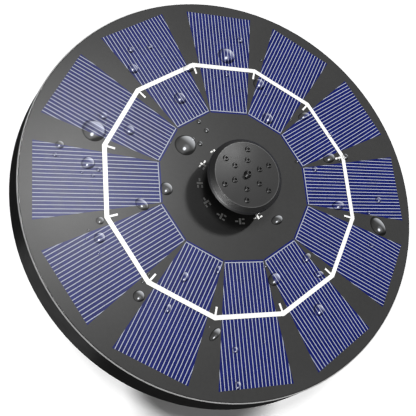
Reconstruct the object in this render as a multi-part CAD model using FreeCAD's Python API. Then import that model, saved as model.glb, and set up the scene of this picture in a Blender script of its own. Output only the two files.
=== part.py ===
import FreeCAD, Part
import math
import os

# Floating solar fountain. Z is up, with z = 0 at the flat foot of the strainer cap.
# The round float, the panel and the nozzle share the Z axis. The pump hangs under
# the float inside the strainer cap; its axis is parallel to Y and its front faces -Y.
# Lengths are in millimetres and angles in degrees. A name ending in _Y or _Z that
# holds a pair is the start and end of a piece along that axis.

V = FreeCAD.Vector
os.makedirs("parts", exist_ok=True)

# ---------------------------------------------------------------- shared dimensions
Z_UNDER = 30.0        # underside of the float
Z_WALL = 32.0         # lower edge of the float's flared wall
Z_FACE = 44.3         # panel face
T_RESIN = 1.0
T_BOARD = 1.2
T_DECK = 1.8
Z_RESIN = Z_FACE - T_RESIN
Z_BOARD = Z_RESIN - T_BOARD
Z_DECK = Z_BOARD - T_DECK

R_FACE = 77.5         # outer radius of the shell's lip, at the face
R_FLARE = 80.0        # outer radius of the wall at its lower edge
LIP_W = 0.55
R_LIP_IN = R_FACE - LIP_W
R_SLEEVE = 6.0        # bore of the float's central sleeve

PUMP_X = -6.5         # the pump axis
PUMP_Z = 15.5
T_FLANGE = 1.8        # pump's mounting flange
Z_FLANGE = Z_UNDER - T_FLANGE
WIRE_Y = 16.8         # upright wire passage, above the pump axis
Z_TOWER = Z_FACE + 1.0  # top of the outlet tower

R_FSCREW = 69.0       # ring of float screws
R_PSCREW = 23.8       # ring of pump screws
R_PILOT = 1.3         # hole a screw bites into
R_SCREW_HOLE = 1.6    # hole a screw passes through
R_SHANK = 1.25

FIT = 0.02            # gap between fixed parts
RUN = 0.05            # radial running clearance
PAST = 1.0            # how far a cutting tool overshoots
SINK = 0.5            # how far a fused part sinks into its neighbour


# ---------------------------------------------------------------- helpers
def rod(radius, z0, z1, x=0.0, y=0.0):
    """Upright cylinder."""
    return Part.makeCylinder(radius, z1 - z0, V(x, y, z0), V(0, 0, 1))


def rods(places, radius, z0, z1):
    return [rod(radius, z0, z1, x, y) for x, y in places]


def tube(r_in, r_out, z0, z1):
    return rod(r_out, z0, z1).cut(rod(r_in, z0 - PAST, z1 + PAST))


def pump_rod(radius, y0, y1):
    """Cylinder on the pump axis."""
    return Part.makeCylinder(radius, y1 - y0, V(PUMP_X, y0, PUMP_Z), V(0, 1, 0))


def pump_tube(r_in, r_out, y0, y1):
    return pump_rod(r_out, y0, y1).cut(pump_rod(r_in, y0 - PAST, y1 + PAST))


def box(x0, x1, y0, y1, z0, z1):
    return Part.makeBox(x1 - x0, y1 - y0, z1 - z0, V(x0, y0, z0))


def bar(r0, r1, half_width, z0, z1):
    """Radial box from r0 to r1 along +X."""
    return box(r0, r1, -half_width, half_width, z0, z1)


def torus(r_ring, r_cord, z):
    return moved(Part.makeTorus(r_ring, r_cord), 0, 0, z)


def moved(shape, x, y, z):
    copy = shape.copy()
    copy.translate(V(x, y, z))
    return copy


def spin(shape, angle):
    copy = shape.copy()
    copy.rotate(V(0, 0, 0), V(0, 0, 1), angle)
    return copy


def spread(shape, count, start=0.0):
    """Copies evenly spaced about Z."""
    return [spin(shape, start + 360.0 / count * k) for k in range(count)]


def on_pump(shape):
    """Moves a shape built about Z onto the pump axis: +Z goes to +Y, and +Y to -Z."""
    copy = shape.copy()
    copy.rotate(V(0, 0, 0), V(1, 0, 0), -90)
    copy.translate(V(PUMP_X, 0, PUMP_Z))
    return copy


def circle_points(count, radius, start=0.0):
    angles = [math.radians(start + 360.0 * k / count) for k in range(count)]
    return [(radius * math.cos(a), radius * math.sin(a)) for a in angles]


def prism(points, z0, z1):
    outline = Part.makePolygon([V(x, y, z0) for x, y in points + points[:1]])
    return Part.Face(outline).extrude(V(0, 0, z1 - z0))


def profile_wire(points):
    """Closed wire in XZ from (r, z) sharp or (r, z, fillet radius) rounded corners."""
    vertices = [V(point[0], 0, point[1]) for point in points]
    count = len(points)
    corners = []      # (start, middle of the arc or None, end)
    for i, vertex in enumerate(vertices):
        if len(points[i]) == 2:
            corners.append((vertex, None, vertex))
            continue
        fillet = points[i][2]
        back = vertices[i - 1] - vertex
        ahead = vertices[(i + 1) % count] - vertex
        back.normalize()
        ahead.normalize()
        half_angle = math.acos(back.dot(ahead)) / 2
        reach = fillet / math.tan(half_angle)
        inward = back + ahead
        inward.normalize()
        middle = vertex + inward * (fillet / math.sin(half_angle) - fillet)
        corners.append((vertex + back * reach, middle, vertex + ahead * reach))
    edges = []
    for i, (start, middle, end) in enumerate(corners):
        if middle is not None:
            edges.append(Part.Arc(start, middle, end).toShape())
        following = corners[(i + 1) % count][0]
        if (following - end).Length > 1e-6:
            edges.append(Part.makeLine(end, following))
    return Part.Wire(Part.__sortEdges__(edges))


def turn(points):
    """Solid of revolution about Z."""
    return Part.Face(profile_wire(points)).revolve(V(0, 0, 0), V(0, 0, 1), 360)


def save(name, *shapes):
    solids = [solid for shape in shapes for solid in shape.Solids]
    for solid in solids:
        if solid.Volume < 0:      # turned inside out by its profile's direction
            solid.reverse()
    piece = solids[0] if len(solids) == 1 else Part.makeCompound(solids)
    piece.exportStep("parts/%s.step" % name)


FLOAT_SCREWS = circle_points(6, R_FSCREW, 30.0)
PUMP_SCREWS = [circle_points(1, R_PSCREW, angle)[0] for angle in (40, 140, 220, 320)]

# ---------------------------------------------------------------- float shell
# Flared wall, deck that carries the board, lip flush with the face, central sleeve
T_WALL = 2.0
LIP_CH = 0.35         # bevel at the top of the lip
R_SLEEVE_OUT = R_SLEEVE + 2.0
R_BOSS = 3.0
PILOT_DEPTH = 7.0
R_WIRE_HOLE = 2.2


def wall_r(z):
    """Outer radius of the flared wall."""
    return R_FACE + (Z_FACE - z) * (R_FLARE - R_FACE) / (Z_FACE - Z_WALL)


shell = turn([
    (R_SLEEVE, Z_BOARD),
    (R_LIP_IN, Z_BOARD),
    (R_LIP_IN, Z_FACE),
    (R_FACE - LIP_CH + 0.05, Z_FACE, 0.12),
    (wall_r(Z_FACE - LIP_CH), Z_FACE - LIP_CH, 0.15),
    (R_FLARE, Z_WALL, 0.5),
    (wall_r(Z_WALL) - T_WALL, Z_WALL),
    (wall_r(Z_DECK) - T_WALL, Z_DECK, 1.0),
    (R_SLEEVE_OUT, Z_DECK, 1.0),
    (R_SLEEVE_OUT, Z_WALL),
    (R_SLEEVE, Z_WALL),
])
shell = shell.fuse(rods(FLOAT_SCREWS, R_BOSS, Z_WALL, Z_DECK + SINK))
shell = shell.cut(rods(FLOAT_SCREWS, R_PILOT, Z_WALL - PAST, Z_WALL + PILOT_DEPTH))
shell = shell.cut(rod(R_WIRE_HOLE, Z_DECK - PAST, Z_BOARD + PAST, PUMP_X, WIRE_Y))
save("float_shell", shell)

# ---------------------------------------------------------------- float base
SPIGOT_R = (73.6, 75.4)    # upstanding ring just inside the wall
Z_SPIGOT = Z_WALL + 2.4
COLLAR_R = (28.2, 29.75)   # ring hanging from the underside
Z_COLLAR = Z_UNDER - 4.0
COUNTERBORE = 1.1          # depth, for the float screws' heads
RIB_Z = (Z_UNDER - 1.2, Z_UNDER + 0.3)
RING_RIBS_R = (64.0, 34.0)  # mid-width radii
RIB_HALF = 0.6

base = turn([
    (R_SLEEVE, Z_UNDER),
    (R_FLARE - 0.9, Z_UNDER, 1.5),
    (R_FLARE - 0.6, Z_WALL),
    (SPIGOT_R[1], Z_WALL),
    (SPIGOT_R[1], Z_SPIGOT, 0.4),
    (SPIGOT_R[0], Z_SPIGOT, 0.4),
    (SPIGOT_R[0], Z_WALL),
    (R_SLEEVE, Z_WALL),
])
collar = turn([
    (COLLAR_R[0], Z_COLLAR),
    (COLLAR_R[1], Z_COLLAR, 0.5),
    (COLLAR_R[1], Z_UNDER + SINK),
    (COLLAR_R[0], Z_UNDER + SINK),
])
base = base.fuse([collar] + rods(PUMP_SCREWS, 3.2, Z_WALL - SINK, Z_WALL + 6.0))
base = base.cut(
    rods(FLOAT_SCREWS, R_SCREW_HOLE, Z_UNDER - PAST, Z_WALL + PAST)
    + rods(FLOAT_SCREWS, 3.0, Z_UNDER - PAST, Z_UNDER + COUNTERBORE)
    + rods(PUMP_SCREWS, R_PILOT, Z_UNDER - PAST, Z_WALL + 5.0)
    + [rod(2.6, Z_UNDER - PAST, Z_WALL + PAST, PUMP_X, WIRE_Y)])
# Twelve radial ribs and two ring ribs under the plate
ribs = spread(bar(RING_RIBS_R[1], RING_RIBS_R[0], RIB_HALF, *RIB_Z), 12)
ribs += [tube(radius - RIB_HALF, radius + RIB_HALF, *RIB_Z) for radius in RING_RIBS_R]
base = base.fuse(ribs)
save("float_base", base.removeSplitter())

# ---------------------------------------------------------------- gasket inside the wall
Z_SEAL = Z_WALL + 1.0
R_SEAL_IN = SPIGOT_R[1] + 0.1
R_SEAL_OUT = wall_r(Z_SEAL) - T_WALL - 0.1
save("float_seal", turn([
    (R_SEAL_IN, Z_WALL),
    (R_SEAL_OUT, Z_WALL),
    (R_SEAL_OUT, Z_SEAL, 0.2),
    (R_SEAL_IN, Z_SEAL, 0.2),
]))

# ---------------------------------------------------------------- foam ring
FOAM_R = (28.5, 65.0)
FOAM_Z = (Z_WALL + 0.3, Z_DECK - 0.4)
save("foam_ring", turn([(r, z) for r, z in zip(FOAM_R + FOAM_R[::-1],
                                               (FOAM_Z[0],) * 2 + (FOAM_Z[1],) * 2)]))


# ---------------------------------------------------------------- screws
def screws(places, z_seat, head_r, head_h, length):
    """Pan-head screws pointing up: head below z_seat, shank above, cross recess."""
    z_head = z_seat - head_h
    recess = 0.7
    arm = 1.5
    half_width = 0.28
    screw = turn([
        (0, z_head),
        (head_r, z_head, 0.5),
        (head_r, z_seat),
        (R_SHANK, z_seat),
        (R_SHANK, z_seat + length - 0.8),
        (0.45, z_seat + length),
        (0, z_seat + length),
    ])
    slot = bar(-arm, arm, half_width, z_head - PAST, z_head + recess)
    screw = screw.cut([slot, spin(slot, 90)])
    return [moved(screw, x, y, 0) for x, y in places]


save("float_screws", *screws(FLOAT_SCREWS, Z_UNDER + COUNTERBORE,
                             head_r=2.8, head_h=COUNTERBORE, length=6.8))
save("pump_screws", *screws(PUMP_SCREWS, Z_FLANGE, head_r=2.6, head_h=1.6, length=8.0))

# ---------------------------------------------------------------- panel
N_CELL = 12
HALF_PITCH = 180.0 / N_CELL   # the cells sit half a pitch off the X axis
T_CELL = 0.4
CELL_IN = (28.8, 7.52)        # inner edge: distance from the axis, half-width
CELL_OUT = (72.6, 13.95)      # outer edge, likewise
RIBBON_R = 50.3               # corner radius of the twelve-sided ribbon, mid-width
RIBBON_W = 1.65
T_RIBBON = 0.15
TAB_L = 3.0
TAB_W = 0.75
T_TAB = 0.12
PAD_R = 14.4                  # ring of pad groups
T_PAD = 0.10

save("panel_board", tube(R_SLEEVE, R_LIP_IN - 0.05, Z_BOARD, Z_RESIN))


def cells(z_top):
    (r_in, half_in), (r_out, half_out) = CELL_IN, CELL_OUT
    outline = [(r_in, -half_in), (r_out, -half_out), (r_out, half_out), (r_in, half_in)]
    return spread(prism(outline, Z_FACE - T_CELL, z_top), N_CELL, HALF_PITCH)


resin = tube(R_SLEEVE, R_LIP_IN - 0.05, Z_RESIN, Z_FACE)
save("face_resin", resin.cut(cells(Z_FACE + PAST)))
save("solar_cells", *cells(Z_FACE))

# Twelve-sided ribbon, and tabs reaching inward from its corners
ribbon_half = RIBBON_W / 2 / math.cos(math.radians(HALF_PITCH))
ribbon_in = RIBBON_R - ribbon_half
ribbon = prism(circle_points(N_CELL, RIBBON_R + ribbon_half), Z_FACE, Z_FACE + T_RIBBON)
ribbon = ribbon.cut(prism(circle_points(N_CELL, ribbon_in), Z_FACE - PAST, Z_FACE + PAST))
save("tab_ribbon", ribbon)
tab = bar(ribbon_in - TAB_L, RIBBON_R, TAB_W / 2, Z_FACE, Z_FACE + T_TAB)
save("interconnect_tabs", *[blank.cut(ribbon) for blank in spread(tab, N_CELL)])

# Each pad group has a radial bar, one short dash before it and two after it
PAD_GROUP = [  # radial start and end from PAD_R, sideways start and end
    (-1.15, 1.15, -0.40, 0.40),
    (-0.30, 0.30, -1.95, -0.75),
    (-1.10, -0.50, 0.75, 1.80),
    (0.50, 1.10, 0.75, 1.80),
]
pads = Part.makeCompound([box(PAD_R + r0, PAD_R + r1, y0, y1, Z_FACE, Z_FACE + T_PAD)
                          for r0, r1, y0, y1 in PAD_GROUP])
save("diode_pads", *spread(pads, N_CELL, HALF_PITCH))

# ---------------------------------------------------------------- pump housing
R_CAN = 12.5
Y_FRONT = -5.2        # front face of the housing, where the cover seats
Y_REAR = 19.0
R_CHAMBER = 8.2
R_WELL = 5.6
R_WELL_OUT = 6.4
Y_WELL_END = 15.0
R_CAVITY = 11.3
R_TOWER = 4.9
R_OUTLET = 3.2
R_FLANGE = 27.5
R_WIRE_PASSAGE = 1.5
R_REAR_CUP = 2.0      # bore of the boss at the end of the well
ORING_R = 10.2        # cover seal, mid-cord
GROOVE_HALF = 0.5
GUSSET_HALF = 8.5
Z_BRACE_TOP = Z_FLANGE + SINK

flange = turn([
    (0, Z_FLANGE),
    (R_FLANGE, Z_FLANGE, 0.6),
    (R_FLANGE, Z_UNDER, 0.4),
    (0, Z_UNDER),
])
web = box(PUMP_X - 1.0, PUMP_X + 1.0, -4.5, 18.5, PUMP_Z + 9.0, Z_BRACE_TOP)
gussets = [box(PUMP_X - GUSSET_HALF, PUMP_X + GUSSET_HALF, y, y + 1.6,
               PUMP_Z + 4.0, Z_BRACE_TOP) for y in (5.0, 13.0)]
housing = pump_rod(R_CAN, Y_FRONT, Y_REAR)
housing = housing.fuse([flange, rod(R_TOWER, PUMP_Z, Z_TOWER), web] + gussets)
housing = housing.cut([
    pump_rod(R_CHAMBER, Y_FRONT - PAST, 3.5),                # impeller chamber
    pump_rod(R_WELL, 3.0, Y_WELL_END),                       # rotor well
    pump_tube(R_WELL_OUT, R_CAVITY, 5.0, Y_REAR + PAST),     # stator cavity round the well
    pump_rod(R_CAVITY, 16.0, Y_REAR + PAST),                 # and behind it
    rod(R_OUTLET, PUMP_Z, Z_TOWER + PAST),                   # outlet bore
    pump_tube(ORING_R - GROOVE_HALF, ORING_R + GROOVE_HALF,  # O-ring groove
              Y_FRONT - PAST, Y_FRONT + 2 * GROOVE_HALF),
    rod(R_WIRE_PASSAGE, PUMP_Z + 9.5, Z_UNDER + PAST, PUMP_X, WIRE_Y),
])
housing = housing.cut(rods(PUMP_SCREWS, R_SCREW_HOLE, Z_FLANGE - PAST, Z_UNDER + PAST))
housing = housing.fuse(pump_tube(R_REAR_CUP, 3.2, 13.5, 15.3))
save("pump_housing", housing.removeSplitter())

# ---------------------------------------------------------------- stator
CORE_Y = (6.0, 14.0)
POLE_R = 6.0          # where the poles start, before the core is bored out
POLE_HALF = 1.6
COIL_GAP = 0.05       # between a coil and its pole
COIL_END = 0.9        # how far a coil stands out past the core


def per_pole(shape):
    return [on_pump(copy) for copy in spread(shape, 4, 45)]


pole = bar(POLE_R, 9.5, POLE_HALF, *CORE_Y).fuse(bar(POLE_R, 6.9, 2.6, *CORE_Y))
core = pump_tube(9.3, 11.2, *CORE_Y).fuse(per_pole(pole))
core = core.cut(pump_rod(R_WELL_OUT + 0.1, 0, 20))
save("stator_core", core.removeSplitter())

coil = bar(7.0, 8.55, 3.1, CORE_Y[0] - COIL_END, CORE_Y[1] + COIL_END)
coil = coil.cut(bar(6.5, 9.0, POLE_HALF + COIL_GAP,
                    CORE_Y[0] - COIL_GAP, CORE_Y[1] + COIL_GAP))
coil = coil.common(rod(9.2, 0, 20))
save("stator_coils", *per_pole(coil))

# ---------------------------------------------------------------- driver and potting
DRIVER_Y = (16.1, 17.1)
CHIP_HALF = 2.0
CHIP_Y = (DRIVER_Y[1], 18.0)
CHIP_Z = (PUMP_Z - 6.5, PUMP_Z - 3.5)
CHIP_GAP = 0.4        # between the chip's sides and the potting

save("driver_board", pump_rod(R_CAVITY - 0.1, *DRIVER_Y))
save("driver_chip", box(PUMP_X - CHIP_HALF, PUMP_X + CHIP_HALF, *CHIP_Y, *CHIP_Z))
pocket_half = CHIP_HALF + CHIP_GAP
plug = pump_rod(R_CAVITY - FIT, 17.2, Y_REAR)
plug = plug.cut(box(PUMP_X - pocket_half, PUMP_X + pocket_half, 17.0, 18.2,
                    CHIP_Z[0] - CHIP_GAP, CHIP_Z[1] + CHIP_GAP))
plug = plug.cut(rod(R_WIRE_PASSAGE, PUMP_Z + 9.0, Z_UNDER, PUMP_X, WIRE_Y))
save("potting_plug", plug)

# ---------------------------------------------------------------- shaft and bearings
R_SHAFT = 1.0
R_FRONT_CUP = 1.7     # bore of the cover's hub
FRONT_CUP_Y = (-7.6, -5.3)
R_WASHER = 2.4

save("rotor_shaft", pump_rod(R_SHAFT, -7.4, 14.9))
save("rear_shaft_cup", pump_tube(R_SHAFT + FIT, R_REAR_CUP - FIT, 13.55, Y_WELL_END))
save("front_shaft_cup", pump_tube(R_SHAFT + FIT, R_FRONT_CUP - FIT, *FRONT_CUP_Y))
save("rear_thrust_washer", pump_tube(R_SHAFT + RUN, R_WASHER, 12.9, 13.4))
save("front_thrust_washer", pump_tube(R_SHAFT + RUN, R_WASHER, -5.1, -4.6))

# ---------------------------------------------------------------- rotor
# Sleeve, back plate and straight blades turn with the ring magnet
R_ROTOR_SLEEVE = 2.4
sleeve = pump_rod(R_ROTOR_SLEEVE, -4.5, 12.8)
plate = pump_rod(7.4, 1.8, 2.9)
blades = [on_pump(blade) for blade in spread(bar(1.8, 7.3, 0.45, -4.2, 2.0), 6)]
impeller = sleeve.fuse([plate] + blades).cut(pump_rod(R_SHAFT + RUN, -10, 20))
save("impeller", impeller.removeSplitter())
save("rotor_magnet", pump_tube(R_ROTOR_SLEEVE + FIT, 5.2, 3.9, 12.4))

# ---------------------------------------------------------------- volute cover
# Disc with an inlet snout, a three-armed hub in the inlet and four lugs on the rim
COVER_Y = (Y_FRONT - 2.0, Y_FRONT)
cover = pump_rod(R_CAN, *COVER_Y)
cover = cover.fuse(pump_rod(5.2, Y_FRONT - 4.6, Y_FRONT - 1.5))
cover = cover.cut(pump_rod(3.9, Y_FRONT - 6, Y_FRONT + PAST))
arms = [on_pump(arm) for arm in spread(bar(0.5, 4.4, 0.5, -7.6, -5.6), 3, 90)]
cover = cover.fuse(arms + [pump_rod(2.5, -8.0, FRONT_CUP_Y[1])])
cover = cover.cut(pump_rod(R_FRONT_CUP, FRONT_CUP_Y[0], -5.0))
lug = bar(R_CAN - 0.6, R_CAN + 0.9, 2.0, *COVER_Y)
cover = cover.fuse([on_pump(spin(lug, angle)) for angle in (0, 60, 120, 180)])
save("volute_cover", cover.removeSplitter())

save("cover_seal", on_pump(torus(ORING_R, 0.45, Y_FRONT + GROOVE_HALF)))
save("outlet_seal", torus((R_TOWER + R_SLEEVE) / 2, 0.5, Z_WALL + 2.0))

# ---------------------------------------------------------------- strainer cap
R_FOOT = 30.0         # outer radius at the foot
R_MOUTH = 32.0        # outer radius at the mouth
CAP_H = 29.8
CAP_T = 1.8
CAP_FLOOR = 2.0
N_SLOT = 28
GRIP_PITCH = 3.2

taper = (R_MOUTH - R_FOOT) / CAP_H
strainer = turn([
    (0, 0),
    (R_FOOT, 0, 2.2),
    (R_MOUTH, CAP_H, 0.5),
    (R_MOUTH - CAP_T, CAP_H, 0.4),
    (R_FOOT + CAP_FLOOR * taper - CAP_T, CAP_FLOOR, 0.6),
    (0, CAP_FLOOR),
])
wall_slots = spread(bar(24.0, 36.0, 1.0, 5.0, 22.0), N_SLOT)
floor_slots = spread(bar(12.0, 21.0, 0.9, -PAST, CAP_FLOOR + PAST), 12)
strainer = strainer.cut(wall_slots + floor_slots)
# Rim bead round the mouth, with grip ribs under it on the +X and -X sides
bead = turn([
    (R_MOUTH - 1.2, CAP_H - 3.0),
    (R_MOUTH + 0.7, CAP_H - 2.4, 0.4),
    (R_MOUTH + 0.9, CAP_H, 0.5),
    (R_MOUTH - 1.0, CAP_H),
])
grip = bar(R_MOUTH - 1.3, R_MOUTH + 0.35, 0.35, 22.9, CAP_H - 2.0)
grips = [spin(grip, side + GRIP_PITCH * k) for side in (0, 180) for k in range(-4, 5)]
strainer = strainer.fuse([bead] + grips)
save("strainer_cap", strainer.removeSplitter())

# Sponge in front of the pump, rounded to the cap
sponge = rod(27.6, CAP_FLOOR + 0.1, 23.5)
save("filter_sponge", sponge.common(box(-18, 6.5, -28, -10.6, CAP_FLOOR, 24)))

# ---------------------------------------------------------------- wires and grommet
Z_LEAD = PUMP_Z + R_CAVITY - 0.05
for name, offset in (("lead_positive", -0.62), ("lead_negative", 0.62)):
    save(name, rod(0.5, Z_LEAD, Z_BOARD, PUMP_X + offset, WIRE_Y - 0.2))
grommet = turn([
    (1.35, Z_UNDER),
    (2.55, Z_UNDER),
    (2.55, Z_WALL),
    (3.4, Z_WALL),
    (3.4, Z_WALL + 1.0, 0.3),
    (1.35, Z_WALL + 1.0, 0.3),
])
save("wire_grommet", moved(grommet, PUMP_X, WIRE_Y, 0))

# ---------------------------------------------------------------- nozzle stem
R_STEM_BORE = 1.7
R_PLUG = 3.1          # end that enters the outlet tower
R_GROOVE = 2.28
R_STEM = 3.0
R_STEM_HOLE = R_STEM + 0.06   # bore of the parts round the stem
Z_PLUG = Z_TOWER - 9.0
Z_STEM_TOP = Z_FACE + 8.0
Z_STEM_FLANGE = Z_TOWER + 1.3
Z_WASHER = Z_STEM_FLANGE + 0.3

save("nozzle_stem", turn([
    (R_STEM_BORE, Z_PLUG),
    (R_PLUG, Z_PLUG, 0.5),
    (R_PLUG, Z_PLUG + 2.0),
    (R_GROOVE, Z_PLUG + 2.0),
    (R_GROOVE, Z_PLUG + 3.0),
    (R_PLUG, Z_PLUG + 3.0),
    (R_PLUG, Z_TOWER),
    (4.6, Z_TOWER),
    (4.6, Z_STEM_FLANGE, 0.3),
    (R_STEM, Z_STEM_FLANGE),
    (R_STEM, Z_STEM_TOP, 0.4),
    (R_STEM_BORE, Z_STEM_TOP),
]))
save("stem_seal", torus(2.72, 0.41, Z_PLUG + 2.5))
save("head_washer", tube(R_STEM_HOLE, 4.4, Z_STEM_FLANGE, Z_WASHER))

# ---------------------------------------------------------------- spray head
Z_HEAD_BOT = Z_FACE + 4.9
Z_RIM = Z_FACE + 8.0
Z_SHOULDER = Z_FACE + 9.75
Z_HEAD_TOP = Z_FACE + 11.0
Z_HEAD_IN = Z_HEAD_TOP - 1.3  # ceiling of the bore
R_HEAD_IN = 10.6      # bore that takes the head base
R_HEAD_BOT = 11.9     # lower edge, under the undercut
R_RIM = 14.2          # widest circle
R_SHOULDER = 14.05    # foot of the bevel round the top
R_HEAD = 12.35        # edge of the flat top
JET_RINGS = (5.45, 9.65)
JET_PHASE = 38.0
JET_SINK = 0.2
JET = (1.25, 0.85, 0.6, 0.45)     # foot radius, tip radius, height, hole radius
MID_JET = (1.5, 0.95, 1.9, 0.5)   # the same for the middle jet

save("head_base", turn([
    (R_STEM_HOLE, Z_WASHER + FIT),
    (4.7, Z_WASHER + FIT, 0.3),
    (4.7, Z_HEAD_BOT + 0.5, 0.5),
    (R_HEAD_IN - FIT, Z_HEAD_BOT + 0.5),
    (R_HEAD_IN - FIT, Z_HEAD_BOT + 2.2),
    (R_STEM_HOLE, Z_HEAD_BOT + 2.2),
]))
head = turn([
    (0, Z_HEAD_IN),
    (R_HEAD_IN, Z_HEAD_IN, 0.3),
    (R_HEAD_IN, Z_HEAD_BOT, 0.15),
    (R_HEAD_BOT, Z_HEAD_BOT, 0.35),
    (R_RIM, Z_RIM, 0.5),
    (R_SHOULDER, Z_SHOULDER, 0.8),
    (R_HEAD, Z_HEAD_TOP, 0.12),
    (0, Z_HEAD_TOP),
])
jets = [(0, 0) + MID_JET]
for ring in JET_RINGS:
    jets += [place + JET for place in circle_points(6, ring, JET_PHASE)]
cones = []
holes = []
for x, y, r_foot, r_tip, height, r_hole in jets:
    foot = V(x, y, Z_HEAD_TOP - JET_SINK)
    cones.append(Part.makeCone(r_foot, r_tip, height + JET_SINK, foot))
    holes.append(rod(r_hole, Z_HEAD_TOP - 5, Z_HEAD_TOP + 5, x, y))
save("spray_cap", head.fuse(cones).cut(holes).removeSplitter())
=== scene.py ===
"""A floating solar fountain pump, with its looks, floor, lights and camera.

Lengths are in metres. The float is a disc round the Z axis with its face upward at Z_FACE.
The spray nozzle rises from the middle of the face. The pump and its strainer hang below,
and the curved outer side of the filter sponge faces -Y. The camera looks down from +X, -Y.
"""
import math
import random

import bpy
import numpy as np
from mathutils import Matrix, Vector


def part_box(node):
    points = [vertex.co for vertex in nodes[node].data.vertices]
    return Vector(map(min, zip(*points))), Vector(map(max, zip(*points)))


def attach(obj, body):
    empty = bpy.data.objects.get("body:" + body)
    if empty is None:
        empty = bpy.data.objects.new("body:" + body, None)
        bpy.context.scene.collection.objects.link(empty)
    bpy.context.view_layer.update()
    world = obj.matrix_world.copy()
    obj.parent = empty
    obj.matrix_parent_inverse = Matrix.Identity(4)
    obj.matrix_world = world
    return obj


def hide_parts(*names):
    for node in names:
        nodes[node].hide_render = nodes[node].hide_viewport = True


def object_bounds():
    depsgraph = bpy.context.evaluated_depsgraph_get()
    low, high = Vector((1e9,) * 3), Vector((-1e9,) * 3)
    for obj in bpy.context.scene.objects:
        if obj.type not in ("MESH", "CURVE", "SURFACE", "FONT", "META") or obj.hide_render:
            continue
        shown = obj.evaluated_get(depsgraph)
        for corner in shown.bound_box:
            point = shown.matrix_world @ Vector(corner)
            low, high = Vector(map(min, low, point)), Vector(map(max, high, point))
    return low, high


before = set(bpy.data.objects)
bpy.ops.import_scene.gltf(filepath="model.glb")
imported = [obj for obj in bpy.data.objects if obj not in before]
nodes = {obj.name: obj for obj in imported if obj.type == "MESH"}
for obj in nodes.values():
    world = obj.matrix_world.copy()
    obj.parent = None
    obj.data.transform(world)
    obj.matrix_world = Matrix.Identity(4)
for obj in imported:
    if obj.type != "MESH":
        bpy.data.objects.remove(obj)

random.seed(7)
MM = 0.001
scene = bpy.context.scene

# ---------------------------------------------------------------- places taken from the frame
cad_lo, cad_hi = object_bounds()
sponge_lo, sponge_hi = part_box("filter_sponge")
foam_lo, foam_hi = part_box("foam_ring")
Z_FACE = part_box("face_resin")[1].z
Z_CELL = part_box("solar_cells")[1].z
Z_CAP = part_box("spray_cap")[1].z
Z_FLOOR = cad_lo.z


def plan_radii(piece):
    """Distance of every vertex of a frame piece from the Z axis."""
    points = np.array([vertex.co[:] for vertex in nodes[piece].data.vertices])
    return np.hypot(points[:, 0], points[:, 1])


# ---------------------------------------------------------------- node graphs
# Stretches of a noise value that are mapped to a full range
MID = (0.3, 0.7)
WIDE = (0.25, 0.75)


def grey(level):
    return (level, level, level)


class Graph:
    """An emptied node tree of a material or world, with short ways to add nodes."""

    def __init__(self, owner, output_kind):
        owner.use_nodes = True
        self.tree = owner.node_tree
        self.tree.nodes.clear()
        self.output = self.node(output_kind).inputs[0]

    def node(self, kind, inputs=None, **settings):
        """Add a node. inputs maps a socket's name or index to a value or an output socket."""
        added = self.tree.nodes.new("ShaderNode" + kind)
        for name, value in settings.items():
            setattr(added, name, value)
        for key, value in (inputs or {}).items():
            self.put(added.inputs[key], value)
        return added

    def put(self, socket, value):
        if isinstance(value, bpy.types.NodeSocket):
            self.tree.links.new(value, socket)
        elif socket.type == "RGBA":
            socket.default_value = (*value, 1.0)
        else:
            socket.default_value = value

    def math(self, operation, *values, clamp=False):
        inputs = dict(enumerate(values))
        return self.node("Math", inputs, operation=operation, use_clamp=clamp).outputs[0]

    def remap(self, value, low, high, to_low=0.0, to_high=1.0, smooth=False):
        inputs = {
            "Value": value, "From Min": low, "From Max": high, "To Min": to_low, "To Max": to_high,
        }
        kind = "SMOOTHSTEP" if smooth else "LINEAR"
        return self.node("MapRange", inputs, interpolation_type=kind).outputs[0]

    def xyz(self, vector):
        return self.node("SeparateXYZ", {0: vector}).outputs

    def length(self, x, y):
        squares = [self.math("MULTIPLY", value, value) for value in (x, y)]
        return self.math("SQRT", self.math("ADD", *squares))

    def mix_shader(self, factor, off, on):
        return self.node("MixShader", {0: factor, 1: off, 2: on}).outputs[0]

    def transparent(self, color):
        return self.node("BsdfTransparent", {0: color}).outputs[0]


SURFACE_INPUTS = {
    "color": "Base Color", "roughness": "Roughness", "metallic": "Metallic",
    "normal": "Normal", "specular": "Specular IOR Level", "coat": "Coat Weight",
    "coat_roughness": "Coat Roughness", "sheen": "Sheen Weight",
    "subsurface": "Subsurface Weight",
}


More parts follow.
